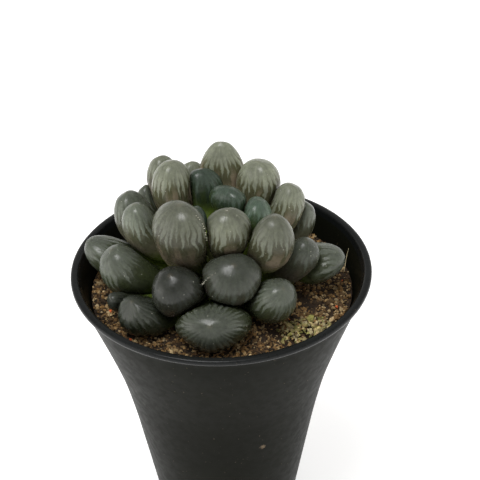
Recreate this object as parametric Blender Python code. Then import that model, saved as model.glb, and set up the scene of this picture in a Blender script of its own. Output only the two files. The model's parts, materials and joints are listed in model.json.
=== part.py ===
"""A potted haworthia: a rosette of fat windowed leaves on a short crown, rooted in grit in a flared plastic pot.

The origin is the middle of the pot's underside, +Z is up, and -Y is the front. Sizes are in millimetres
and are turned into metres as each mesh is made. Every leaf is one fleshy solid that grows from the crown.
Where two leaves press together each is flattened against the other, and a thin gap is left between them.
"""

import math

import bmesh
import bpy
import numpy as np

MM = 0.001
NAME = "haworthia_pot"

# The pot: one moulding, flared like a trumpet, with a rolled lip and a foot ring.
POT_HEIGHT = 90.0
LIP_RADIUS = 40.0
LIP_WIDTH = 2.1
LIP_DEPTH = 1.6
WALL = 1.3
FLOOR = 1.6
FOOT_HEIGHT = 1.5
FOOT_WIDTH = 2.2
POT_SEGMENTS = 48
# (depth below the top of the lip, outer radius)
POT_FLARE = ((2.0, 38.5), (7.0, 37.1), (12.0, 35.5), (22.0, 32.4), (32.0, 29.6), (45.0, 27.0), (60.0, 24.7),
             (75.0, 22.5), (88.8, 20.5))
DRAIN_RADIUS = 2.6
DRAIN_RING = 10.0
DRAIN_COUNT = 4

# The grit, and the socket that the crown is planted in.
SOIL_DEPTH = 7.5
SOIL_TOP = POT_HEIGHT - SOIL_DEPTH
SOIL_CROWNING = 0.5
SOCKET_DEPTH = 6.0
SEAT = 0.35
SOIL_SEGMENTS = 48

# The crown: (height above the grit, radius)
CROWN_X = -0.5
CROWN_Y = 0.0
CROWN = ((-5.7, 5.0), (0.0, 5.6), (2.0, 6.2), (6.0, 5.8), (10.0, 4.9), (13.5, 3.6), (16.0, 2.2), (17.2, 0.9))
CROWN_SEGMENTS = 16

# The leaves.
LEAF_GAP = 0.4
LEAF_SEGMENTS = 12
LEAF_STATIONS = (0.0, 0.1, 0.22, 0.35, 0.47, 0.58, 0.68, 0.78, 0.87, 0.94, 0.98)
LEAF_BASE_GAP = 0.75
ADAXIAL_SHARE = 0.42
SECTION_POWER = 2.2
SHOULDER = 0.66

# One row per leaf: x and y of its tip from the pot's axis, height of its tip above the grit, greatest width,
# greatest thickness, lean of the tip outwards from upright (degrees), height on the crown where it grows out,
# and what is special about it: "neck" is the base's share of the width, "point" how blunt the tip is (2 is
# round, less is pointed), "turn" the degrees that its base is turned from the direction of its tip, "keel"
# how sharp its back is.
LEAVES = (
    # the youngest, in the middle
    (2.8, 3.5, 28.5, 12.5, 8.0, 15, 15.4, {"turn": 20}),
    (-5.0, 13.5, 28.3, 12.0, 8.5, 5, 13.8, {}),
    (10.0, -1.0, 27.5, 10.8, 8.0, 15, 14.2, {}),
    (-5.8, -2.5, 26.5, 7.0, 6.0, 5, 14.0, {}),
    # the tall ring
    (2.0, -9.5, 30.0, 13.0, 10.0, 8, 11.8, {}),
    (-9.6, -9.5, 31.8, 17.0, 12.5, 8, 9.8, {"neck": 0.6, "turn": -10}),
    (13.7, -12.0, 29.5, 11.5, 11.5, 8, 9.0, {}),
    (-12.8, 11.0, 32.3, 12.5, 11.0, 4, 10.0, {}),
    (0.4, 19.5, 33.1, 13.8, 10.0, -8, 10.0, {"point": 1.3}),
    (10.2, 12.5, 31.0, 13.0, 11.0, -4, 10.5, {"point": 2.5}),
    (18.4, 6.5, 27.5, 10.5, 10.0, 5, 8.5, {}),
    (-22.0, 0.5, 25.8, 10.5, 9.5, 8, 7.0, {}),
    (-8.0, 23.0, 25.3, 10.0, 8.5, 5, 7.5, {}),
    # the middle ring
    (-24.8, 9.0, 24.3, 13.0, 10.0, 8, 5.0, {}),
    (-16.0, 19.0, 29.5, 11.0, 10.0, 4, 7.2, {}),
    (3.5, -19.5, 20.5, 16.0, 14.0, 25, 6.5, {}),
    (-12.0, -22.0, 19.5, 13.2, 13.5, 22, 4.5, {}),
    (22.2, -6.0, 18.5, 10.0, 10.0, 10, 3.8, {"rise": 5}),
    (22.6, 8.0, 21.0, 9.0, 9.0, 12, 5.0, {}),
    (-20.7, 18.0, 21.0, 9.0, 8.0, 12, 4.2, {}),
    (14.0, 20.0, 20.0, 11.0, 9.0, 15, 6.0, {}),
    (4.0, 25.5, 19.0, 12.0, 9.0, 18, 6.0, {}),
    (-5.5, 27.0, 17.5, 11.0, 9.0, 20, 3.6, {}),
    # the oldest, lying on the grit
    (-36.0, 3.5, 12.5, 13.0, 10.0, 50, 2.4, {}),
    (-27.8, -7.5, 17.3, 13.5, 12.5, 20, 2.2, {"rise": 0}),
    (-2.5, -31.0, 11.0, 20.5, 13.0, 45, 2.2, {"keel": 1.5}),
    (15.5, -22.0, 15.0, 12.5, 11.5, 30, 3.2, {}),
    (32.6, -3.0, 10.7, 14.0, 9.5, 75, 3.0, {}),
    (-22.0, -21.0, 11.0, 15.0, 11.5, 12, 1.6, {"rise": 0, "keel": 1.8}),
    (-28.0, -17.0, 9.5, 8.0, 7.0, 40, 1.6, {}),
    (20.0, 22.0, 11.0, 12.0, 9.0, 45, 2.6, {}),
    (8.0, 29.0, 10.5, 12.5, 9.0, 50, 2.2, {}),
    (-7.0, 30.0, 10.5, 12.5, 9.0, 50, 2.0, {}),
    (-18.5, 25.0, 11.5, 12.0, 9.0, 45, 2.2, {}),
)


def interpolate(pairs, at):
    """The value of a table of (position, value) pairs, smoothed by a monotone cubic, at each position."""
    x, y = (np.array(column, float) for column in zip(*pairs))
    step = np.diff(x)
    slope = np.diff(y) / step
    tangent = np.concatenate([slope[:1], (slope[1:] + slope[:-1]) / 2, slope[-1:]])
    at = np.atleast_1d(at).astype(float)
    k = np.clip(np.searchsorted(x, at) - 1, 0, len(step) - 1)
    t = np.clip((at - x[k]) / step[k], 0, 1)
    h = step[k]
    return (
        (2 * t**3 - 3 * t**2 + 1) * y[k]
        + (t**3 - 2 * t**2 + t) * h * tangent[k]
        + (3 * t**2 - 2 * t**3) * y[k + 1]
        + (t**3 - t**2) * h * tangent[k + 1]
    )


def flare_radius(height):
    """Outer radius of the pot's body at each height."""
    return interpolate(POT_FLARE, POT_HEIGHT - np.atleast_1d(height))


def crown_radius(above):
    """Radius of the crown at each height above the grit."""
    return np.interp(above, *(np.array(column) for column in zip(*CROWN)))


# ---- leaves ----------------------------------------------------------------------------------------------


class Leaf:
    """The axis, frames and section sizes of one leaf, sampled evenly from its base to its tip."""

    SAMPLES = 25

    def __init__(self, x, y, height, width, thickness, lean, grows_at, special):
        self.width = width
        self.thickness = thickness
        self.neck = special.get("neck", 0.36)
        self.point = special.get("point", 2.0)
        self.keel = special.get("keel", 2.0)
        azimuth = math.atan2(y - CROWN_Y, x - CROWN_X)
        base_azimuth = azimuth + math.radians(special.get("turn", 0))
        outward = np.array([math.cos(azimuth), math.sin(azimuth), 0.0])
        base_outward = np.array([math.cos(base_azimuth), math.sin(base_azimuth), 0.0])
        rise = math.radians(special.get("rise", 22))
        root_radius = float(crown_radius(grows_at)) + LEAF_BASE_GAP
        base = np.array([CROWN_X, CROWN_Y, SOIL_TOP + grows_at]) + base_outward * root_radius
        tip = np.array([x, y, SOIL_TOP + height])
        span = float(np.linalg.norm(tip - base))
        start = base_outward * math.cos(rise) + np.array([0, 0, math.sin(rise)])
        end = outward * math.sin(math.radians(lean)) + np.array([0, 0, math.cos(math.radians(lean))])
        self.place(base, base + start * span * 0.36, tip - end * span * 0.5, tip, outward)

    def place(self, p0, p1, p2, p3, outward):
        """Samples the axis, a cubic curve, evenly by length, with a sideways and an inward direction at each."""
        t = np.linspace(0, 1, 161)[:, None]
        dense = (1 - t) ** 3 * p0 + 3 * (1 - t) ** 2 * t * p1 + 3 * (1 - t) * t**2 * p2 + t**3 * p3
        run = np.concatenate([[0], np.cumsum(np.linalg.norm(np.diff(dense, axis=0), axis=1))])
        even = np.linspace(0, run[-1], self.SAMPLES)
        self.length = run[-1]
        self.axis = np.stack([np.interp(even, run, dense[:, k]) for k in range(3)], 1)
        along = np.gradient(self.axis, axis=0)
        self.along = along / np.linalg.norm(along, axis=1)[:, None]
        self.side = np.tile(np.array([-outward[1], outward[0], 0.0]), (self.SAMPLES, 1))
        self.inward = np.cross(self.along, self.side)
        self.inward /= np.linalg.norm(self.inward, axis=1)[:, None]
        self.side = np.cross(self.inward, self.along)

    def swell(self, share):
        """How full the leaf is at each share of its length: a narrow base, a fat shoulder, a rounded tip."""
        share = np.asarray(share, float)
        rising = np.clip(share / SHOULDER, 0, 1) ** 1.2
        body = self.neck + (1 - self.neck) * (0.5 - 0.5 * np.cos(np.pi * rising))
        over = np.clip((share - SHOULDER) / (1 - SHOULDER), 0, 1)
        return np.where(share < SHOULDER, body, np.sqrt(np.maximum(1 - over**self.point, 0)))

    def frame(self, share):
        """Centre, sideways and inward directions at one share of the length."""
        grid = np.linspace(0, 1, self.SAMPLES)
        return tuple(
            np.array([np.interp(share, grid, table[:, k]) for k in range(3)])
            for table in (self.axis, self.side, self.inward)
        )

    def ring(self, share, turns):
        """Centre and points of the section at one share of the length, before its neighbours press on it."""
        centre, side, inward = self.frame(share)
        full = float(self.swell(share))
        cos, sin = np.cos(turns), np.sin(turns)
        power = np.where(sin > 0, 2 / SECTION_POWER, 2 / self.keel)
        half = np.where(sin > 0, ADAXIAL_SHARE, 1 - ADAXIAL_SHARE) * self.thickness * full
        across = np.sign(cos) * np.abs(cos) ** power * self.width / 2 * full
        through = np.sign(sin) * np.abs(sin) ** power * half
        return centre, centre + across[:, None] * side + through[:, None] * inward

    def depth(self, points):
        """About how far each point is outside the leaf, in millimetres, and below zero inside it."""
        least = np.full(len(points), np.inf)
        swell = np.maximum(self.swell(np.linspace(0, 1, self.SAMPLES)), 0.12)
        for centre, side, inward, along, full in zip(self.axis, self.side, self.inward, self.along, swell):
            away = points - centre
            through = away @ inward
            half = np.where(through > 0, ADAXIAL_SHARE, 1 - ADAXIAL_SHARE) * self.thickness * full
            wide = self.width / 2 * full
            reach = min(wide, self.thickness / 2 * full)
            scaled = np.sqrt((away @ side / wide) ** 2 + (through / half) ** 2 + (away @ along / reach) ** 2)
            least = np.minimum(least, (scaled - 1) * reach)
        return least


def clear_of_surroundings(points):
    """How far each point is inside the space that the crown, the grit and the pot leave free."""
    above = points[:, 2] - SOIL_TOP
    from_crown = np.hypot(points[:, 0] - CROWN_X, points[:, 1] - CROWN_Y) - crown_radius(above)
    from_crown = np.where(above > CROWN[-1][0], np.maximum(from_crown, above - CROWN[-1][0]), from_crown)
    radius = np.hypot(points[:, 0], points[:, 1])
    from_soil = above - SOIL_CROWNING * np.cos(np.clip(radius / 36.0, 0, 1) * math.pi / 2)
    wall = np.minimum(flare_radius(points[:, 2]) - WALL, LIP_RADIUS - LIP_WIDTH)
    from_wall = np.where(points[:, 2] < POT_HEIGHT + SEAT, wall - radius, 9.0)
    return np.minimum(np.minimum(from_crown, from_soil), from_wall)


def press(leaves):
    """Rings of points for every leaf, each drawn in towards its axis until it is clear of its neighbours."""
    turns = np.linspace(0, 2 * math.pi, LEAF_SEGMENTS, endpoint=False)
    steps = np.linspace(0.08, 1.0, 47)
    rings = []
    for leaf in leaves:
        near = [
            other
            for other in leaves
            if other is not leaf and (np.linalg.norm(leaf.axis[:, None] - other.axis[None], axis=2).min() < 17)
        ]
        of_leaf = []
        for share in LEAF_STATIONS:
            centre, points = leaf.ring(share, turns)
            ray = centre + steps[None, :, None] * (points - centre)[:, None]
            flat = ray.reshape(-1, 3)
            own = leaf.depth(flat)
            free = clear_of_surroundings(flat) >= SEAT
            for other in near:
                free &= own <= other.depth(flat) - LEAF_GAP
            free = free.reshape(len(turns), len(steps))
            reached = np.where(free.all(1), len(steps), np.argmin(free, 1))
            share_of_ray = steps[np.clip(reached - 1, 0, len(steps) - 1)]
            of_leaf.append(centre + share_of_ray[:, None] * (points - centre))
        rings.append(of_leaf)
    return rings


# ---- meshes ----------------------------------------------------------------------------------------------


def clear_scene():
    for obj in list(bpy.data.objects):
        bpy.data.objects.remove(obj, do_unlink=True)


def collection(name, shown=True):
    made = bpy.data.collections.new(name)
    bpy.context.scene.collection.children.link(made)
    made.hide_render = not shown
    return made


def add_mesh(name, points, faces, into):
    """An object whose points are given in millimetres."""
    mesh = bpy.data.meshes.new(name)
    mesh.from_pydata([tuple(np.asarray(p) * MM) for p in points], [], faces)
    whole = bmesh.new()
    whole.from_mesh(mesh)
    bmesh.ops.recalc_face_normals(whole, faces=whole.faces)
    whole.to_mesh(mesh)
    whole.free()
    obj = bpy.data.objects.new(name, mesh)
    into.objects.link(obj)
    return obj


def lathe(name, profile, segments, into, centre=(0.0, 0.0)):
    """A closed solid of revolution. The profile runs from the axis round to the axis: (radius, height) pairs."""
    points, rings = [], []
    for radius, height in profile:
        if radius < 1e-6:
            rings.append([len(points)])
            points.append((centre[0], centre[1], height))
            continue
        rings.append(list(range(len(points), len(points) + segments)))
        for k in range(segments):
            turn = 2 * math.pi * k / segments
            points.append((centre[0] + radius * math.cos(turn), centre[1] + radius * math.sin(turn), height))
    faces = []
    for lower, upper in zip(rings, rings[1:]):
        for k in range(segments):
            a, b = lower[k % len(lower)], lower[(k + 1) % len(lower)]
            c, d = upper[(k + 1) % len(upper)], upper[k % len(upper)]
            faces.append(tuple(dict.fromkeys((a, b, c, d))))
    return add_mesh(name, points, faces, into)


def pot_profile():
    """The pot's section, from the middle of the underside up the outside, over the lip and down the inside."""
    depths = [depth for depth, _ in POT_FLARE]
    outer = [(float(interpolate(POT_FLARE, d)[0]), POT_HEIGHT - d) for d in reversed(depths)]
    foot = outer[0][0]
    lip_in = LIP_RADIUS - LIP_WIDTH
    low = POT_HEIGHT - LIP_DEPTH
    lip = [
        (LIP_RADIUS - 1.3, low - 0.1),
        (LIP_RADIUS - 0.5, low),
        (LIP_RADIUS - 0.08, low + 0.35),
        (LIP_RADIUS, POT_HEIGHT - 0.65),
        (LIP_RADIUS - 0.2, POT_HEIGHT - 0.2),
        (LIP_RADIUS - 0.65, POT_HEIGHT),
        (lip_in + 0.75, POT_HEIGHT),
        (lip_in + 0.25, POT_HEIGHT - 0.2),
        (lip_in, POT_HEIGHT - 0.7),
    ]
    inner = [(radius - WALL, height) for radius, height in reversed(outer[1:])]
    floor_top = FOOT_HEIGHT + FLOOR
    inner.append((foot - WALL - 0.9, floor_top + 1.0))
    inner.append((foot - WALL - 2.0, floor_top))
    under = [(0.0, FOOT_HEIGHT), (foot - FOOT_WIDTH - 0.9, FOOT_HEIGHT), (foot - FOOT_WIDTH - 0.6, 0.0),
             (foot - 0.6, 0.0)]
    return under + outer + lip + inner + [(0.0, floor_top)]


def make_pot(into, helpers):
    pot = lathe("pot", pot_profile(), POT_SEGMENTS, into)
    holes = [(0.0, 0.0)]
    for k in range(DRAIN_COUNT):
        turn = math.radians(45 + 360 * k / DRAIN_COUNT)
        holes.append((DRAIN_RING * math.cos(turn), DRAIN_RING * math.sin(turn)))
    for k, centre in enumerate(holes):
        sides = [(0.0, -2.0), (DRAIN_RADIUS, -2.0), (DRAIN_RADIUS, 6.0), (0.0, 6.0)]
        cutter = lathe(f"drain_{k}", sides, 16, helpers, centre)
        cutter.display_type = "WIRE"
        cutter.hide_render = True
        cut = pot.modifiers.new(f"drain_{k}", "BOOLEAN")
        cut.operation = "DIFFERENCE"
        cut.solver = "EXACT"
        cut.object = cutter
    return pot


def make_soil(into):
    """The grit fills the pot, and has a socket in which the crown is planted."""
    floor_top = FOOT_HEIGHT + FLOOR + SEAT
    heights = [POT_HEIGHT - depth for depth, _ in reversed(POT_FLARE)]
    heights = [h for h in heights if floor_top + 3 < h < SOIL_TOP - 2] + [SOIL_TOP - 0.2]
    side = [(float(flare_radius(h)[0]) - WALL - SEAT, h) for h in heights]
    bottom = float(flare_radius(floor_top)[0]) - WALL - 2.6
    profile = [(0.0, floor_top), (bottom, floor_top), (bottom + 1.6, floor_top + 2.0)] + side
    rim = side[-1][0]
    for share in (0.97, 0.8, 0.6, 0.4, 0.25):
        profile.append((rim * share, SOIL_TOP + SOIL_CROWNING * math.cos(share * math.pi / 2)))
    socket = CROWN[1][1] + SEAT + 0.2
    profile += [(socket, SOIL_TOP), (socket - 0.5, SOIL_TOP - SOCKET_DEPTH), (0.0, SOIL_TOP - SOCKET_DEPTH)]
    shift = (CROWN_X, CROWN_Y)
    return lathe_with_socket("soil", profile, len(profile) - 3, shift, into)


def lathe_with_socket(name, profile, first_of_socket, shift, into):
    """A lathe whose last rings, the socket's, are centred on the crown instead of on the pot."""
    obj = lathe(name, profile, SOIL_SEGMENTS, into)
    moved = obj.data.vertices
    socket = {round(height, 4) for _, height in profile[first_of_socket:]}
    limit = profile[first_of_socket][0] + 0.6
    for vertex in moved:
        x, y, z = (value / MM for value in vertex.co)
        if math.hypot(x, y) < limit and round(z, 4) in socket:
            vertex.co.x = (x + shift[0]) * MM
            vertex.co.y = (y + shift[1]) * MM
    return obj


def make_crown(into):
    profile = [(0.0, SOIL_TOP + CROWN[0][0])]
    profile += [(radius, SOIL_TOP + above) for above, radius in CROWN]
    profile.append((0.0, SOIL_TOP + CROWN[-1][0] + 0.3))
    return lathe("crown", profile, CROWN_SEGMENTS, into, (CROWN_X, CROWN_Y))


def make_leaf(name, leaf, rings, into):
    """The solid through a leaf's rings, closed at its base and its tip."""
    count = LEAF_SEGMENTS
    points = [point for ring in rings for point in ring] + [leaf.axis[0], leaf.axis[-1]]
    base, tip = len(points) - 2, len(points) - 1
    faces = []
    for low in range(0, count * (len(rings) - 1), count):
        for k in range(count):
            step = (k + 1) % count
            faces.append((low + k, low + step, low + count + step, low + count + k))
    last = count * (len(rings) - 1)
    for k in range(count):
        step = (k + 1) % count
        faces.append((step, k, base))
        faces.append((last + k, last + step, tip))
    return add_mesh(name, points, faces, into)


def make_leaves(into):
    leaves = [Leaf(*row) for row in LEAVES]
    for number, (leaf, rings) in enumerate(zip(leaves, press(leaves)), 1):
        make_leaf(f"leaf_{number:02d}", leaf, rings, into)


clear_scene()
parts = collection(NAME)
cutters = collection("cutters", shown=False)
make_pot(parts, cutters)
make_soil(parts)
make_crown(parts)
make_leaves(parts)
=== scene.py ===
"""The looks of a potted haworthia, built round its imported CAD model."""

import json
import math
import random

import bmesh
import bpy
import numpy as np
from mathutils import Matrix, Vector
from mathutils.bvhtree import BVHTree

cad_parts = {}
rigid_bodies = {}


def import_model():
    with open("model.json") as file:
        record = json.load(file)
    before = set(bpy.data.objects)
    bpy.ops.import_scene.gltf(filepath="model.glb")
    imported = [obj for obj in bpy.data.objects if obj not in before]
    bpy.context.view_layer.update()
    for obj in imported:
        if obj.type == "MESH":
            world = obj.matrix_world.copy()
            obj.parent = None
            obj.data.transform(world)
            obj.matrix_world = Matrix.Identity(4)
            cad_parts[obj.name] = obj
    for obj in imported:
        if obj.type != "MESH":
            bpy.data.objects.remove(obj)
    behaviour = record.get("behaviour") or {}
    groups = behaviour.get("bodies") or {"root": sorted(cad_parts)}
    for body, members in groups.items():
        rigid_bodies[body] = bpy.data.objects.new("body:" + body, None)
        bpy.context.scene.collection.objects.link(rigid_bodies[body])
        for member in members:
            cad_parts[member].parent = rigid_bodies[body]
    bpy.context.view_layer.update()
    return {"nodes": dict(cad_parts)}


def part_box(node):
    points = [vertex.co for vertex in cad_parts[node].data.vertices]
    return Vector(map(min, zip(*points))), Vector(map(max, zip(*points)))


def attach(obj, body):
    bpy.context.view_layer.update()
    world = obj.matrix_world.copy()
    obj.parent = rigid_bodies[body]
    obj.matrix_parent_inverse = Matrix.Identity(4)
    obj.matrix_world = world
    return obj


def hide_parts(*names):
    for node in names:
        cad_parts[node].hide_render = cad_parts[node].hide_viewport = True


MM = 0.001
LEAF_COUNT = 34
# a leaf's fine skin: points round each ring, rings below and above its shoulder, and where the shoulder is
COLUMNS = 144
BODY_ROWS = 34
CAP_ROWS = 26
SHOULDER = 0.62
FIRST_RING = 0.015
TANGENT_REACH = 0.04
# how far the skin is smoothed, round and along the leaf, and what makes up for the shrinking
RING_BLUR = COLUMNS / 45
ROW_BLUR = 1.2
REGAIN = 1.01
# limits on a ray's length, for rays that miss or run along the surface
LEAST_RADIUS = 0.3 * MM
MOST_SPREAD = 2.2
# the vein pattern
VEIN_SPACING = 1.55 * MM
FEWEST_VEINS = 10
WINDOW_LENGTH = 4.6 * MM
WINDOW_GIRTH_SHARE = 0.115
FURROW_DEPTH = 0.45 * MM
PATTERN_SHIFT = 37
# leaves with pale teeth along one margin, and which margin
TOOTHED = {6: 1, 16: -1}
# first and last distance from the leaf's tip and the spacing, in mm
TOOTH_RUN = (5.0, 13.5, 0.85)
TOOTH_LENGTH = 0.6 * MM
TOOTH_RADIUS = 0.15 * MM
TOOTH_COLOUR = (214, 210, 190)
POT_SEGMENTS = 192
FLARE_RINGS = 36
LIP_WIDTH = 2.1 * MM
LIP_DEPTH = 1.6 * MM
WALL = 1.3 * MM
FOOT_HEIGHT = 1.5 * MM
FOOT_WIDTH = 2.2 * MM
FOOT_ROUNDING = 0.6 * MM
FLOOR_TOP = 3.1 * MM
# (depth below the top of the lip, outer radius) in mm, as the CAD pot has them
POT_FLARE = ((2.0, 38.5), (7.0, 37.1), (12.0, 35.5), (22.0, 32.4), (32.0, 29.6), (45.0, 27.0), (60.0, 24.7),
             (75.0, 22.5), (88.8, 20.5))
DRAIN_RADIUS = 2.6 * MM
DRAIN_RING = 10.0 * MM
DRAIN_SEGMENTS = 40
# a small scuff on the pot's wall
SCUFF = (0.0104, -0.0254, 0.0457)
# the grit is level at this height below its middle, which is crowned
CROWNING = 0.5 * MM
# a pale mossy lump in the grit: its middle, how far its bank spreads and how far its grains do
LUMP = (0.0225, -0.0215)
LUMP_HEIGHT = 2.4
LUMP_BANK = (0.0052, 0.0042)
LUMP_GRAINS = (0.0075, 0.006)
GRAIN_COLOURS = ((148, 118, 76), (124, 95, 58), (170, 142, 98), (94, 70, 42), (188, 164, 122), (68, 51, 32),
                 (136, 104, 62), (56, 43, 28))
MOSS_COLOURS = ((168, 156, 98), (186, 170, 118), (146, 142, 80), (198, 184, 140))
ORANGE_GRAIN = (196, 92, 44)
# (x, y, height above the grit) in mm along each rootlet, after its name, thickness in mm and kind
THREADS = (
    ("rootlet_a", 0.32, "rootlet",
     ((8.0, -21.0, 1.5), (7.6, -24.0, 1.6), (5.5, -26.5, 1.4), (2.6, -28.2, 1.2), (1.6, -30.5, 0.9))),
    ("rootlet_b", 0.22, "rootlet", ((4.0, -28.5, 0.8), (6.5, -27.6, 2.0), (9.0, -27.8, 2.1), (11.0, -29.0, 0.9))),
    ("rootlet_c", 0.2, "rootlet", ((5.5, -30.5, 0.8), (7.2, -29.0, 1.8), (9.4, -29.3, 1.7), (10.5, -30.8, 0.8))),
    ("fibre_a", 0.3, "fibre", ((33.6, 4.0, 0.5), (34.0, 6.0, 2.4), (35.0, 8.6, 5.2))),
)
FLOOR_HALF = 4.0
CAMERA_LENS = 71.26
CAMERA_PLACE = (0.00507, -0.20583, 0.23881)
CAMERA_FORWARD = (0.0, 0.82333, -0.56756)
CAMERA_ACROSS = (0.99987, -0.00904, -0.01312)

# Skin colours as seen (0 to 255): the window between the veins, the veins, and the flesh below the window.
SKINS = {
    "young": ((88, 105, 90), (60, 76, 56), (66, 82, 44)),
    "pale": ((152, 157, 136), (94, 94, 68), (148, 135, 113)),
    "mid": ((122, 129, 114), (78, 80, 60), (106, 101, 84)),
    "slate": ((94, 100, 88), (74, 76, 62), (88, 83, 72)),
    "deep": ((82, 87, 77), (52, 57, 42), (52, 58, 38)),
}
# leaf number: (skin, brightness, furrows as a share of FURROW_DEPTH, how far its window reaches down)
LEAF_LOOKS = {
    1: ("young", 0.9, 0.05, 1.0), 2: ("young", 0.82, 0.05, 1.0), 3: ("young", 1.05, 0.1, 1.0),
    4: ("young", 0.85, 0.05, 1.0), 5: ("pale", 0.8, 0.15, 1.45), 6: ("pale", 0.68, 0.2, 1.5),
    7: ("pale", 0.75, 0.15, 1.45), 8: ("pale", 0.92, 0.18, 1.35), 9: ("pale", 1.0, 0.15, 1.3),
    10: ("pale", 0.96, 0.18, 1.35), 11: ("pale", 0.92, 0.18, 1.4), 12: ("mid", 0.98, 0.12, 1.4),
    13: ("pale", 0.95, 0.1, 1.3), 14: ("mid", 0.92, 0.12, 1.4), 15: ("pale", 0.85, 0.12, 1.3),
    16: ("slate", 0.78, 0.06, 1.35), 17: ("slate", 0.54, 0.1, 1.4), 18: ("slate", 0.95, 0.1, 1.4),
    19: ("mid", 0.85, 0.1, 1.3), 20: ("mid", 0.9, 0.1, 1.3), 21: ("mid", 0.9, 0.1, 1.3),
    22: ("mid", 0.9, 0.1, 1.3), 23: ("mid", 0.9, 0.1, 1.3), 24: ("deep", 1.2, 0.12, 1.3),
    25: ("deep", 1.25, 0.15, 1.4), 26: ("deep", 1.08, 0.65, 1.15), 27: ("deep", 1.2, 0.35, 1.2),
    28: ("deep", 1.25, 0.2, 1.3), 29: ("deep", 0.9, 0.9, 1.2), 30: ("deep", 0.8, 0.6, 1.2),
    31: ("deep", 1.1, 0.2, 1.2), 32: ("deep", 1.1, 0.2, 1.2), 33: ("deep", 1.1, 0.2, 1.2),
    34: ("deep", 1.1, 0.2, 1.2),
}


def linear(colour):
    """Linear RGBA from 0 to 255 display values."""
    scaled = [value / 255 for value in colour]
    return tuple(v / 12.92 if v <= 0.04045 else ((v + 0.055) / 1.055) ** 2.4 for v in scaled) + (1.0,)


# ---- shader helpers --------------------------------------------------------------------------------------


class Nodes:
    """A short way to write a node tree."""

    def __init__(self, name):
        self.material = bpy.data.materials.new(name)
        self.material.use_nodes = True
        self.tree = self.material.node_tree
        self.shader = self.tree.nodes["Principled BSDF"]

    def add(self, kind, inputs=(), **settings):
        node = self.tree.nodes.new(kind)
        for key, value in settings.items():
            setattr(node, key, value)
        for slot, value in dict(inputs).items():
            self.set(node.inputs[slot], value)
        return node

    def set(self, socket, value):
        if isinstance(value, bpy.types.NodeSocket):
            self.tree.links.new(value, socket)
        else:
            socket.default_value = value

    def math(self, operation, a, b=0.0):
        return self.add("ShaderNodeMath", {0: a, 1: b}, operation=operation).outputs[0]

    def scaled(self, colour, factor):
        """A colour made lighter or darker by a factor."""
        return self.add("ShaderNodeVectorMath", {0: colour, 3: factor}, operation="SCALE").outputs[0]

    def ramp(self, value, low, high, to_low=0.0, to_high=1.0):
        """A smooth step of value between low and high."""
        node = self.add("ShaderNodeMapRange", interpolation_type="SMOOTHSTEP")
        names = ("Value", "From Min", "From Max", "To Min", "To Max")
        for name, item in zip(names, (value, low, high, to_low, to_high)):
            self.set(node.inputs[name], item)
        return node.outputs[0]

    def mix(self, factor, a, b):
        node = self.add("ShaderNodeMix", data_type="RGBA")
        for slot, item in zip((0, 6, 7), (factor, a, b)):
            self.set(node.inputs[slot], item)
        return node.outputs[2]

    def noise(self, scale, detail=3.0, place=None):
        place = place or self.add("ShaderNodeNewGeometry").outputs["Position"]
        return self.add("ShaderNodeTexNoise", {"Vector": place, "Scale": scale, "Detail": detail}).outputs[0]

    def attribute(self, name):
        return self.add("ShaderNodeAttribute", attribute_name=name)

    def bump(self, height, strength, distance):
        node = self.add("ShaderNodeBump", {"Height": height, "Strength": strength, "Distance": distance})
        self.set(self.shader.inputs["Normal"], node.outputs[0])


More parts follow.
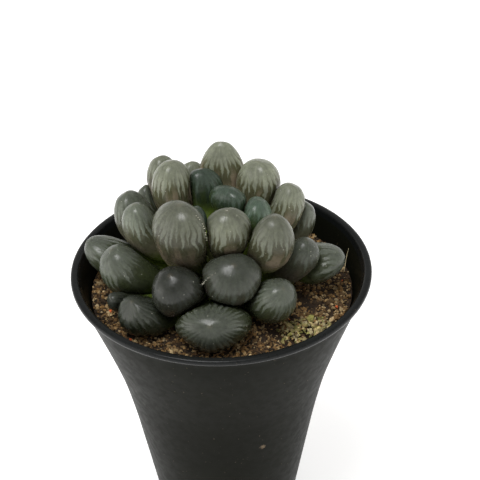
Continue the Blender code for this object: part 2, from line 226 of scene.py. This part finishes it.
def leaf_material():
    """Waxy skin: clear windows at the tip, dark veins that widen downwards, and dull flesh below. The green at
    the bases is the flesh's own colour, brightened into a painted glow of light through them, and the pale specks
    are painted glints.
    """
    n = Nodes("leaf_skin")
    uv = n.add("ShaderNodeUVMap", uv_map="veins")
    split = n.add("ShaderNodeSeparateXYZ", {0: uv.outputs[0]})
    phase, down = split.outputs[0], split.outputs[1]
    wobble = n.math("MULTIPLY", n.math("SUBTRACT", n.noise(330.0, 3.0), 0.5), 1.7)
    phase = n.math("ADD", phase, wobble)
    finger = n.add("ShaderNodeTexWhiteNoise", {"W": n.math("FLOOR", phase)}, noise_dimensions="1D").outputs[0]
    reach = n.math("ADD", n.math("MULTIPLY", finger, 0.5), 0.72)
    down_finger = n.math("DIVIDE", down, reach)
    from_middle = n.math("ABSOLUTE", n.math("SUBTRACT", n.math("FRACT", phase), 0.5))
    from_middle = n.math("MULTIPLY", from_middle, 2.0)
    edge = n.ramp(down_finger, 0.45, 1.03, 0.86, -0.12)
    window = n.ramp(n.math("SUBTRACT", edge, from_middle), -0.1, 0.12)
    faint = n.ramp(down, 0.3, 0.72)
    window = n.math("SUBTRACT", 1.0, n.math("MULTIPLY", n.math("SUBTRACT", 1.0, window), faint))
    skin, vein, flesh = (n.attribute(name).outputs["Color"] for name in ("window", "vein", "flesh"))
    below = n.ramp(down_finger, 0.85, 1.35)
    dark = n.mix(below, vein, flesh)
    glass = n.scaled(skin, n.ramp(down, 0.2, 0.8, 0.7, 1.0))
    drawn_out = {0: n.math("MULTIPLY", phase, 2.3), 1: n.math("MULTIPLY", down, 1.6)}
    grain = n.add("ShaderNodeCombineXYZ", drawn_out).outputs[0]
    streak = n.ramp(n.noise(1.0, 3.0, grain), 0.3, 0.7, 0.84, 1.14)
    glass = n.scaled(glass, streak)
    colour = n.mix(window, dark, glass)
    # partly painted light: the bases' own green flesh, brightened to stand in for light glowing through them
    colour = n.mix(n.ramp(down, 1.2, 2.0, 0.0, 0.9), colour, linear((112, 134, 42)))
    mottle = n.ramp(n.noise(900.0, 4.0), 0.3, 0.7, 0.88, 1.1)
    patch = n.ramp(n.noise(120.0, 2.0), 0.3, 0.7, 0.88, 1.12)
    colour = n.scaled(colour, n.math("MULTIPLY", mottle, patch))
    warm = n.ramp(down, 0.0, 0.1, 0.12, 0.0)
    colour = n.mix(warm, colour, linear((150, 138, 118)))
    # painted glints: pale specks that stand in for highlights on the waxy skin
    painted_glints = n.ramp(n.noise(1500.0, 1.0), 0.765, 0.79, 0.0, 0.7)
    colour = n.mix(painted_glints, colour, linear((205, 205, 190)))
    n.set(n.shader.inputs["Base Color"], colour)
    n.set(n.shader.inputs["Roughness"], n.ramp(n.noise(700.0, 3.0), 0.3, 0.7, 0.22, 0.36))
    n.shader.inputs["IOR"].default_value = 1.42
    n.shader.inputs["Subsurface Weight"].default_value = 0.12
    n.shader.inputs["Subsurface Radius"].default_value = (0.9, 1.0, 0.6)
    n.shader.inputs["Subsurface Scale"].default_value = 0.0012
    furrow = n.math("MULTIPLY", window, 0.7)
    n.bump(n.math("ADD", furrow, n.math("MULTIPLY", n.noise(1800.0, 3.0), 0.35)), 0.35, 0.00012)
    return n.material


def pot_material(name, shine):
    """Black moulded plastic with a satin skin, faint flow marks, dust and one small scuff."""
    n = Nodes(name)
    place = n.add("ShaderNodeNewGeometry").outputs["Position"]
    height = n.add("ShaderNodeSeparateXYZ", {0: place}).outputs[2]
    lip_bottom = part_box("pot")[1][2] - LIP_DEPTH
    lip = n.ramp(height, lip_bottom - 0.4 * MM, lip_bottom)
    colour = n.mix(lip, linear((19, 20, 14)), linear((22, 24, 24)))
    cloud = n.ramp(n.noise(60.0, 3.0), 0.35, 0.7, 0.9, 1.12)
    colour = n.scaled(colour, cloud)
    dust = n.ramp(n.noise(1300.0, 2.0), 0.71, 0.78, 0.0, 0.35)
    colour = n.mix(dust, colour, linear((120, 108, 88)))
    away = n.add("ShaderNodeVectorMath", {0: place, 1: SCUFF}, operation="DISTANCE").outputs[1]
    away = n.math("ADD", away, n.math("MULTIPLY", n.noise(1200.0, 2.0), 0.0016))
    colour = n.mix(n.ramp(away, 0.0012, 0.0019, 0.6, 0.0), colour, linear((140, 122, 98)))
    n.set(n.shader.inputs["Base Color"], colour)
    satin = n.ramp(n.noise(500.0, 3.0), 0.3, 0.7, 0.36, 0.46)
    n.set(n.shader.inputs["Roughness"], n.math("SUBTRACT", satin, n.math("MULTIPLY", lip, 0.12)))
    n.shader.inputs["IOR"].default_value = 1.5
    n.shader.inputs["Specular IOR Level"].default_value = shine
    n.bump(n.noise(2600.0, 3.0), 0.12, 0.00008)
    return n.material


def grit_material(name):
    """Porous grain: each grain's own colour, with pits and dusty speckle."""
    n = Nodes(name)
    colour = n.attribute("grain").outputs["Color"]
    speck = n.ramp(n.noise(2600.0, 4.0), 0.3, 0.7, 0.75, 1.45)
    colour = n.scaled(colour, speck)
    n.set(n.shader.inputs["Base Color"], colour)
    n.set(n.shader.inputs["Roughness"], n.ramp(n.noise(900.0, 2.0), 0.3, 0.7, 0.75, 0.95))
    n.bump(n.noise(3200.0, 4.0), 0.8, 0.00025)
    return n.material


def plain_material(name, colour, rough, noise_scale=800.0, depth=0.25):
    """A natural surface of one colour that varies by a fine and a coarse noise."""
    n = Nodes(name)
    fine = n.ramp(n.noise(noise_scale, 4.0), 0.3, 0.7, 1 - depth, 1 + depth)
    coarse = n.ramp(n.noise(noise_scale / 8, 2.0), 0.3, 0.7, 1 - depth / 2, 1 + depth / 2)
    n.set(n.shader.inputs["Base Color"], n.scaled(linear(colour)[:3], n.math("MULTIPLY", fine, coarse)))
    dullness = n.ramp(n.noise(noise_scale, 2.0), 0.3, 0.7, rough - 0.06, rough + 0.06)
    n.set(n.shader.inputs["Roughness"], dullness)
    n.bump(n.noise(noise_scale * 1.5, 3.0), 0.4, 0.0002)
    return n.material


# ---- meshes ----------------------------------------------------------------------------------------------


def colour_points(obj, name, colours):
    """Stores a colour for each point of a mesh."""
    made = obj.data.attributes.new(name, "FLOAT_COLOR", "POINT")
    made.data.foreach_set("color", np.asarray(colours, np.float32).reshape(-1))


def add_object(name, points, faces, material, smooth=True):
    """A mesh piece of the object, riding on its one body."""
    mesh = bpy.data.meshes.new(name)
    mesh.from_pydata(np.asarray(points).tolist(), [], faces)
    mesh.polygons.foreach_set("use_smooth", [smooth] * len(mesh.polygons))
    mesh.materials.append(material)
    obj = bpy.data.objects.new(name, mesh)
    bpy.context.scene.collection.objects.link(obj)
    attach(obj, "root")
    return obj


def node_shape(node):
    """(points, faces) of a CAD node with its doubled vertices made one."""
    shape = bmesh.new()
    shape.from_mesh(node.data)
    bmesh.ops.remove_doubles(shape, verts=shape.verts, dist=2e-6)
    bmesh.ops.triangulate(shape, faces=shape.faces)
    shape.verts.index_update()
    points = np.array([v.co[:] for v in shape.verts])
    faces = [[v.index for v in f.verts] for f in shape.faces]
    valence = np.array([len(v.link_edges) for v in shape.verts])
    shape.free()
    return points, faces, valence


def blurred(table, across, along):
    """A table of radii smoothed round each ring and from ring to ring."""

    def kernel(width):
        reach = np.arange(-int(3 * width) - 1, int(3 * width) + 2)
        weight = np.exp(-0.5 * (reach / width) ** 2)
        return reach, weight / weight.sum()

    reach, weight = kernel(across)
    table = sum(w * np.roll(table, k, axis=1) for k, w in zip(reach, weight))
    reach, weight = kernel(along)
    rows = np.arange(len(table))
    return sum(w * table[np.clip(rows + k, 0, len(table) - 1)] for k, w in zip(reach, weight))


def leaf_axis(points, valence, crown):
    """A smooth middle line through a leaf, from its base at the crown to its tip."""
    poles = points[np.argsort(-valence)[:2]]
    near = np.hypot(poles[:, 0] - crown[0], poles[:, 1] - crown[1])
    base, tip = poles[np.argsort(near)]
    chord = tip - base
    share = (points - base) @ chord / (chord @ chord)
    stations = np.linspace(0, 1, 41)
    weight = np.exp(-0.5 * ((stations[:, None] - share[None]) / 0.07) ** 2) + 1e-9
    middle = weight @ points / weight.sum(1)[:, None]
    at = weight @ share / weight.sum(1)
    middle += (stations - at)[:, None] * chord
    fade = np.clip(np.minimum(stations / 0.12, (1 - stations) / 0.25), 0, 1)[:, None]
    line = fade * middle + (1 - fade) * (base + stations[:, None] * chord)
    for _ in range(6):
        line[1:-1] = (line[:-2] + 2 * line[1:-1] + line[2:]) / 4
    return line


def along_line(line, run, shares):
    """Points at these shares of a line's running length."""
    return np.stack([np.interp(np.clip(shares, 0, 1), run, line[:, k]) for k in range(3)], 1)


def leaf_rays(line):
    """The centre of each ring of a leaf, and the directions from it to the ring's points."""
    run = np.concatenate([[0], np.cumsum(np.linalg.norm(np.diff(line, axis=0), axis=1))])
    run /= run[-1]
    body = np.linspace(FIRST_RING, SHOULDER, BODY_ROWS, endpoint=False)
    cap = SHOULDER + (1 - SHOULDER) * np.sin(np.linspace(0, math.pi / 2, CAP_ROWS + 1)[:-1])
    shares = np.concatenate([body, cap])
    along = along_line(line, run, shares + TANGENT_REACH) - along_line(line, run, shares - TANGENT_REACH)
    along /= np.linalg.norm(along, axis=1)[:, None]
    lean = line[-1] - line[0]
    side = np.array([-lean[1], lean[0], 0.0])
    side /= np.linalg.norm(side)
    inward = np.cross(along, side)
    inward /= np.linalg.norm(inward, axis=1)[:, None]
    side = np.cross(inward, along)
    # the turns start on the inner face, which the leaves further in mostly hide
    turns = math.pi / 2 + np.linspace(0, 2 * math.pi, COLUMNS, endpoint=False)
    way = np.cos(turns)[None, :, None] * side[:, None] + np.sin(turns)[None, :, None] * inward[:, None]
    return along_line(line, run, shares), way


def leaf_radii(tree, centre, way):
    """The distance along each ray to the surface of the CAD leaf, smoothed."""
    radius = np.full(way.shape[:2], np.nan)
    for i, start in enumerate(centre):
        origin = Vector(start)
        for j in range(COLUMNS):
            distance = tree.ray_cast(origin, Vector(way[i, j]))[3]
            if distance is not None:
                radius[i, j] = distance
    for i in range(len(radius)):
        known = ~np.isnan(radius[i])
        radius[i, ~known] = radius[i, known].mean() if known.any() else LEAST_RADIUS
        radius[i] = np.clip(radius[i], 0, MOST_SPREAD * np.median(radius[i]))
    return blurred(radius, RING_BLUR, ROW_BLUR) * REGAIN


def leaf_faces(rows):
    """The faces of a leaf's rings and two ends, and each corner's (column, row) in the vein pattern."""
    tip, base = rows * COLUMNS, rows * COLUMNS + 1
    faces, corners = [], []
    for i in range(rows - 1):
        low, high = i * COLUMNS, (i + 1) * COLUMNS
        for j in range(COLUMNS):
            k = (j + 1) % COLUMNS
            faces.append((low + j, low + k, high + k, high + j))
            corners.append(((j, i), (j + 1, i), (j + 1, i + 1), (j, i + 1)))
    last = (rows - 1) * COLUMNS
    for j in range(COLUMNS):
        k = (j + 1) % COLUMNS
        faces.append((last + j, last + k, tip))
        corners.append(((j, rows - 1), (j + 1, rows - 1), (j + 0.5, rows)))
        faces.append((k, j, base))
        corners.append(((j + 1, 0), (j, 0), (j + 0.5, -1)))
    return faces, corners


def map_veins(obj, corners, phase, level, shift):
    """Stores the vein pattern as a UV map: veins counted round the leaf, and window lengths from the tip."""
    layer = obj.data.uv_layers.new(name="veins")
    columns = np.arange(COLUMNS + 1)
    flat = []
    for face in corners:
        for j, i in face:
            down = 0.0 if i == len(level) else float(level[max(i, 0), int(j) % COLUMNS])
            flat += (float(np.interp(j, columns, phase)) + shift, down)
    layer.data.foreach_set("uv", flat)


def make_leaf(number, node, crown, material):
    """A fine skin over a CAD leaf: rays from its middle line find the surface, which is then smoothed."""
    points, faces, valence = node_shape(node)
    line = leaf_axis(points, valence, crown)
    centre, way = leaf_rays(line)
    tree = BVHTree.FromPolygons([tuple(p) for p in points], faces)
    radius = leaf_radii(tree, centre, way)
    skin = centre[:, None] + radius[:, :, None] * way
    ring = skin[BODY_ROWS]
    step = np.linalg.norm(np.roll(ring, -1, axis=0) - ring, axis=1)
    girth = step.sum()
    veins = max(FEWEST_VEINS, round(girth / VEIN_SPACING))
    phase = np.concatenate([[0], np.cumsum(step)]) / girth * veins
    to_tip = np.concatenate([skin, np.tile(line[-1], (1, COLUMNS, 1))])
    gaps = np.linalg.norm(np.diff(to_tip, axis=0), axis=2)
    down = np.cumsum(gaps[::-1], axis=0)[::-1]
    look, bright, furrow, reach = LEAF_LOOKS[number]
    level = down / (reach * (WINDOW_LENGTH + WINDOW_GIRTH_SHARE * girth))
    depth = np.cos(2 * math.pi * phase[:-1])[None] * 0.5 + 0.5
    strength = np.clip((level - 0.15) / 0.35, 0, 1) * np.clip((1.5 - level) / 0.5, 0, 1)
    uneven = 0.6 + 0.4 * np.sin(phase[:-1] * 2.1 + number)[None]
    radius = radius - FURROW_DEPTH * furrow * depth**2 * strength * uneven
    skin = centre[:, None] + radius[:, :, None] * way
    vertices = np.vstack([skin.reshape(-1, 3), line[-1:], line[:1]])
    faces, corners = leaf_faces(len(centre))
    obj = add_object(f"leaf_skin_{number:02d}", vertices, faces, material)
    map_veins(obj, corners, phase, level, number * PATTERN_SHIFT)
    for name, colour in zip(("window", "vein", "flesh"), SKINS[look]):
        tone = linear([value * bright for value in colour])
        colour_points(obj, name, np.tile(tone, len(vertices)))
    shape = bmesh.new()
    shape.from_mesh(obj.data)
    bmesh.ops.recalc_face_normals(shape, faces=shape.faces)
    shape.to_mesh(obj.data)
    shape.free()
    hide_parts(node.name)
    if number in TOOTHED:
        make_teeth(number, skin, way, down, TOOTHED[number])


def make_teeth(number, skin, way, down, side):
    """The pale teeth along one margin of a leaf: side is 1 or -1, for one margin or the other."""
    column = COLUMNS * 3 // 4 if side > 0 else COLUMNS // 4
    vertices, faces = [], []
    for distance in np.arange(*TOOTH_RUN) * MM:
        row = int(np.argmin(np.abs(down[:, column] - distance)))
        root = skin[row, column]
        out = way[row, column]
        up = skin[row + 1, column] - root
        up /= np.linalg.norm(up)
        across = np.cross(out, up)
        foot = root - TOOTH_RADIUS * out
        turns = np.linspace(0, 2 * math.pi, 6, endpoint=False)
        ring = [foot + TOOTH_RADIUS * (math.cos(t) * up + math.sin(t) * across) for t in turns]
        start = len(vertices)
        vertices += ring + [root + TOOTH_LENGTH * (out + 0.4 * up)]
        faces += [(start + k, start + (k + 1) % 6, start + 6) for k in range(6)]
        faces.append(tuple(start + k for k in reversed(range(6))))
    name = f"teeth_{number:02d}"
    add_object(name, vertices, faces, plain_material(name, TOOTH_COLOUR, 0.6))


def lathe_points(profile, segments):
    """(points, faces) of a closed shape turned about the z axis from (radius, height) points."""
    points, rings = [], []
    for radius, height in profile:
        if radius < 1e-7:
            rings.append([len(points)])
            points.append((0.0, 0.0, height))
            continue
        rings.append(list(range(len(points), len(points) + segments)))
        turns = [2 * math.pi * k / segments for k in range(segments)]
        points += [(radius * math.cos(turn), radius * math.sin(turn), height) for turn in turns]
    faces = []
    for lower, upper in zip(rings, rings[1:]):
        for k in range(segments):
            corners = (lower[k % len(lower)], lower[(k + 1) % len(lower)], upper[(k + 1) % len(upper)],
                       upper[k % len(upper)])
            faces.append(tuple(dict.fromkeys(corners)))
    return points, faces


def flare(depth):
    """Outer radius of the pot's body this far below the lip, both in metres."""
    x, y = (np.array(c) * MM for c in zip(*POT_FLARE))
    slope = np.gradient(y, x)
    k = int(np.clip(np.searchsorted(x, depth) - 1, 0, len(x) - 2))
    h = x[k + 1] - x[k]
    t = min(max((depth - x[k]) / h, 0), 1)
    return float((2 * t**3 - 3 * t**2 + 1) * y[k] + (t**3 - 2 * t**2 + t) * h * slope[k]
                 + (3 * t**2 - 2 * t**3) * y[k + 1] + (t**3 - t**2) * h * slope[k + 1])


def make_pot(material, lip_material):
    """The pot again, with a smooth wall, a rounded lip and its drainage holes."""
    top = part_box("pot")[1][2]
    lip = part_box("pot")[1][0]
    depths = np.linspace(POT_FLARE[-1][0], POT_FLARE[0][0], FLARE_RINGS) * MM
    outer = [(flare(d), top - d) for d in depths]
    foot = outer[0][0]
    lip_in, low = lip - LIP_WIDTH, top - LIP_DEPTH
    # (in from the lip's outer face, height) up round the lip, then (out from its inner face, height)
    rising = ((1.35, low - 0.12 * MM), (0.8, low - 0.02 * MM), (0.4, low + 0.06 * MM), (0.12, low + 0.3 * MM),
              (0.0, low + 0.65 * MM), (0.0, top - 0.6 * MM), (0.08, top - 0.32 * MM), (0.25, top - 0.12 * MM),
              (0.6, top))
    falling = ((0.7, top), (0.3, top - 0.1 * MM), (0.08, top - 0.35 * MM), (0.0, top - 0.8 * MM))
    bead = [(lip - d * MM, height) for d, height in rising]
    bead += [(lip_in + d * MM, height) for d, height in falling]
    inner = [(radius - WALL, height) for radius, height in reversed(outer[1:])]
    inner += [(foot - WALL - 0.9 * MM, FLOOR_TOP + MM), (foot - WALL - 2 * MM, FLOOR_TOP)]
    foot_out = foot - FOOT_ROUNDING
    foot_in = foot_out - FOOT_WIDTH
    under = [(0.0, FOOT_HEIGHT), (foot_in - 0.3 * MM, FOOT_HEIGHT), (foot_in, 0.0), (foot_out, 0.0)]
    points, faces = lathe_points(under + outer + bead + inner + [(0.0, FLOOR_TOP)], POT_SEGMENTS)
    pot = add_object("pot_body", points, faces, material)
    cutters = []
    turns = [math.radians(45 + 90 * k) for k in range(4)]
    ring = [(0.0, 0.0)] + [(DRAIN_RING * math.cos(turn), DRAIN_RING * math.sin(turn)) for turn in turns]
    drill = [(0.0, -2 * MM), (DRAIN_RADIUS, -2 * MM), (DRAIN_RADIUS, 6 * MM), (0.0, 6 * MM)]
    for k, (x, y) in enumerate(ring):
        points, faces = lathe_points(drill, DRAIN_SEGMENTS)
        mesh = bpy.data.meshes.new(f"drain_{k}")
        mesh.from_pydata([(a + x, b + y, c) for a, b, c in points], [], faces)
        cutter = bpy.data.objects.new(f"drain_{k}", mesh)
        bpy.context.scene.collection.objects.link(cutter)
        cut = pot.modifiers.new(f"drain_{k}", "BOOLEAN")
        cut.object = cutter
        cut.solver = "EXACT"
        cutters.append(cutter)
    bpy.context.view_layer.update()
    graph = bpy.context.evaluated_depsgraph_get()
    final = bpy.data.meshes.new_from_object(pot.evaluated_get(graph))
    pot.modifiers.clear()
    pot.data = final
    for cutter in cutters:
        bpy.data.objects.remove(cutter, do_unlink=True)
    pot.data.set_sharp_from_angle(angle=math.radians(35))
    pot.data.materials.append(lip_material)
    for face in pot.data.polygons:
        out = math.hypot(face.center.x, face.center.y)
        if face.center.z > low - 0.2 * MM and out > lip_in - 0.1 * MM:
            face.material_index = 1
    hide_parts("pot")


def bed_height(x, y, soil_top):
    """Height of the grit's surface: uneven, banked up at the right-hand front, level elsewhere."""
    wave = 0.5 * math.sin(x * 310 + 1.0) * math.cos(y * 270) + 0.35 * math.sin(x * 690 + y * 520)
    away = ((x - LUMP[0]) / LUMP_BANK[0]) ** 2 + ((y - LUMP[1]) / LUMP_BANK[1]) ** 2
    return soil_top + (wave * 0.5 + LUMP_HEIGHT * math.exp(-away)) * MM


def grain_template():
    """(points, faces) of one rounded grain of radius 1."""
    shape = bmesh.new()
    bmesh.ops.create_icosphere(shape, subdivisions=1, radius=1.0)
    points = np.array([v.co[:] for v in shape.verts])
    faces = [[v.index for v in f.verts] for f in shape.faces]
    shape.free()
    return points, faces


def make_grit(name, seed, count, size, lift, soil_top, wall_radius, material):
    """Loose grains of grit spread over the bed, as one mesh with a colour for each grain."""
    rng = random.Random(seed)
    noise = np.random.default_rng(seed)
    points, faces = grain_template()
    vertices, polygons, colours = [], [], []
    for _ in range(count):
        radius = wall_radius * math.sqrt(rng.random())
        turn = rng.random() * 2 * math.pi
        x, y = radius * math.cos(turn), radius * math.sin(turn)
        scale = size * MM * (0.55 + 0.9 * rng.random() ** 1.6)
        if radius > wall_radius - scale:
            continue
        squash = np.array([1.0, 0.6 + 0.4 * rng.random(), 0.45 + 0.4 * rng.random()])
        rough = points * (1 + 0.22 * noise.standard_normal((len(points), 1))) * squash * scale
        heading = Matrix.Rotation(rng.random() * 6.28, 3, "Z")
        spin = np.array(heading @ Matrix.Rotation(rng.gauss(0, 0.5), 3, "X"))
        z = bed_height(x, y, soil_top) + lift * MM + scale * rng.uniform(-0.35, 0.35)
        start = len(vertices) * len(points)
        vertices.append(rough @ spin.T + (x, y, z))
        polygons += [[start + a for a in face] for face in faces]
        away = math.hypot((x - LUMP[0]) / LUMP_GRAINS[0], (y - LUMP[1]) / LUMP_GRAINS[1])
        mossy = away < 0.8 + 0.4 * rng.random()
        tone = rng.choice(MOSS_COLOURS if mossy and rng.random() < 0.7 else GRAIN_COLOURS)
        if rng.random() < 0.004:
            tone = ORANGE_GRAIN
        shade = rng.uniform(0.75, 1.15)
        colours.append(linear([value * shade for value in tone]))
    obj = add_object(name, np.vstack(vertices), polygons, material, smooth=False)
    colour_points(obj, "grain", np.repeat(colours, len(points), axis=0))


def make_thread(name, route, thickness, material):
    """A rootlet or fibre: a thin tapering tube along a smooth line, as a closed mesh."""
    route = np.array(route, float) * MM
    t = np.linspace(0, len(route) - 1, (len(route) - 1) * 8 + 1)
    line = np.stack([np.interp(t, range(len(route)), route[:, k]) for k in range(3)], 1)
    for _ in range(20):
        line[1:-1] = (line[:-2] + 2 * line[1:-1] + line[2:]) / 4
    along = np.gradient(line, axis=0)
    along /= np.linalg.norm(along, axis=1)[:, None]
    side = np.cross(along, (0.13, 0.07, 1.0))
    side /= np.linalg.norm(side, axis=1)[:, None]
    other = np.cross(along, side)
    sides = 6
    turns = np.linspace(0, 2 * math.pi, sides, endpoint=False)
    radius = thickness / 2 * MM * np.linspace(1, 0.45, len(line))[:, None, None]
    ring = line[:, None] + radius * (np.cos(turns)[None, :, None] * side[:, None]
                                     + np.sin(turns)[None, :, None] * other[:, None])
    faces = []
    for start in range(0, (len(line) - 1) * sides, sides):
        for j in range(sides):
            k = (j + 1) % sides
            faces.append((start + j, start + k, start + sides + k, start + sides + j))
    faces.append(tuple(reversed(range(sides))))
    faces.append(tuple((len(line) - 1) * sides + j for j in range(sides)))
    add_object(name, ring.reshape(-1, 3), faces, material)


def make_rootlets(material, seed, count, wall_radius, soil_top):
    """Short dry rootlets that curl over the grit outside the rosette."""
    rng = random.Random(seed)
    for k in range(count):
        radius = wall_radius / MM * rng.uniform(0.78, 0.9)
        turn = rng.uniform(0, 2 * math.pi)
        x, y = radius * math.cos(turn), radius * math.sin(turn)
        heading = turn + math.pi / 2 + rng.uniform(-0.6, 0.6)
        route = []
        for step in range(5):
            rise = rng.uniform(0.5, 1.7) if 0 < step < 4 else 0.1
            route.append((x, y, bed_height(x * MM, y * MM, soil_top) / MM + rise))
            heading += rng.uniform(-0.7, 0.7)
            x, y = x + 1.3 * math.cos(heading), y + 1.3 * math.sin(heading)
        if all(math.hypot(px, py) < wall_radius / MM - 0.6 for px, py, _ in route):
            make_thread(f"rootlet_{k:02d}", route, rng.uniform(0.16, 0.28), material)


# ---- stage -----------------------------------------------------------------------------------------------


def area_light(name, place, target, size, power, colour=(1, 1, 1)):
    """A flat lamp at a place, facing a target."""
    light = bpy.data.lights.new(name, "AREA")
    light.shape = "RECTANGLE"
    light.size, light.size_y = size
    light.energy = power
    light.color = colour
    obj = bpy.data.objects.new(name, light)
    obj.location = place
    obj.rotation_euler = (Vector(target) - Vector(place)).to_track_quat("-Z", "Y").to_euler()
    bpy.context.scene.collection.objects.link(obj)


def make_stage():
    """A white floor, a world that is white round the horizon, and soft light from above and both sides."""
    mesh = bpy.data.meshes.new("floor")
    signs = ((-1, -1), (1, -1), (1, 1), (-1, 1))
    mesh.from_pydata([(x * FLOOR_HALF, y * FLOOR_HALF, 0) for x, y in signs], [], [(0, 1, 2, 3)])
    floor = bpy.data.objects.new("floor", mesh)
    n = Nodes("floor_white")
    n.shader.inputs["Base Color"].default_value = (0.9, 0.9, 0.9, 1)
    n.shader.inputs["Roughness"].default_value = 0.9
    n.shader.inputs["Emission Color"].default_value = (1, 1, 1, 1)
    n.shader.inputs["Emission Strength"].default_value = 0.6
    mesh.materials.append(n.material)
    bpy.context.scene.collection.objects.link(floor)
    world = bpy.data.worlds.new("studio")
    bpy.context.scene.world = world
    world.use_nodes = True
    tree = world.node_tree
    tree.nodes["Background"].inputs[0].default_value = (1.0, 0.985, 0.96, 1)
    place = tree.nodes.new("ShaderNodeTexCoord")
    split = tree.nodes.new("ShaderNodeSeparateXYZ")
    fade = tree.nodes.new("ShaderNodeMapRange")
    for slot, value in (("From Min", 0.06), ("From Max", 0.55), ("To Min", 1.05), ("To Max", 0.4)):
        fade.inputs[slot].default_value = value
    tree.links.new(place.outputs["Generated"], split.inputs[0])
    tree.links.new(split.outputs[2], fade.inputs["Value"])
    tree.links.new(fade.outputs[0], tree.nodes["Background"].inputs[1])
    area_light("key", (-0.12, -0.15, 0.75), (0, 0, 0.08), (0.3, 0.3), 2.5)
    area_light("left", (-0.7, -0.25, 0.22), (0, 0, 0.06), (0.5, 0.7), 1.4, (1.0, 0.97, 0.93))
    area_light("right", (0.7, -0.1, 0.22), (0, 0, 0.06), (0.5, 0.7), 0.5, (1.0, 0.97, 0.93))


def make_camera():
    """Looks down at the plant from close by, with the whole picture turned by about a degree."""
    camera = bpy.data.cameras.new("camera")
    camera.sensor_width = 36.0
    camera.lens = CAMERA_LENS
    camera.clip_start = 0.01
    obj = bpy.data.objects.new("camera", camera)
    forward = Vector(CAMERA_FORWARD)
    across = Vector(CAMERA_ACROSS).normalized()
    up = across.cross(forward).normalized()
    turn = Matrix((across, up, -forward)).transposed()
    obj.matrix_world = Matrix.Translation(Vector(CAMERA_PLACE)) @ turn.to_4x4()
    bpy.context.scene.collection.objects.link(obj)
    bpy.context.scene.camera = obj


bpy.context.scene.view_settings.view_transform = "Standard"
for item in list(bpy.data.objects):
    bpy.data.objects.remove(item, do_unlink=True)
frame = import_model()
crown_low, crown_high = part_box("crown")
crown_axis = ((crown_low[0] + crown_high[0]) / 2, (crown_low[1] + crown_high[1]) / 2)
soil_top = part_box("soil")[1][2] - CROWNING

skin = leaf_material()
for number in range(1, LEAF_COUNT + 1):
    make_leaf(number, frame["nodes"][f"leaf_{number:02d}"], crown_axis, skin)
make_pot(pot_material("pot_plastic", 0.03), pot_material("pot_lip", 0.2))
for name, material in (("crown", plain_material("crown_flesh", (88, 92, 52), 0.6)),
                       ("soil", plain_material("grit_bed", (52, 38, 24), 0.92, 1400.0, 0.5))):
    node = frame["nodes"][name]
    node.data.materials.clear()
    node.data.materials.append(material)
wall_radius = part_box("soil")[1][0]
make_grit("grit_coarse", 3, 2600, 0.8, 0.1, soil_top, wall_radius, grit_material("grit_coarse"))
make_grit("grit_fine", 5, 9000, 0.44, 0.35, soil_top, wall_radius, grit_material("grit_fine"))
root = plain_material("rootlet", (122, 92, 58), 0.8)
kinds = {"rootlet": root, "fibre": plain_material("fibre", (176, 164, 130), 0.8)}
ground = soil_top / MM
for name, thickness, kind, route in THREADS:
    make_thread(name, [(x, y, ground + rise) for x, y, rise in route], thickness, kinds[kind])
make_rootlets(root, 11, 16, wall_radius, soil_top)
make_stage()
make_camera()
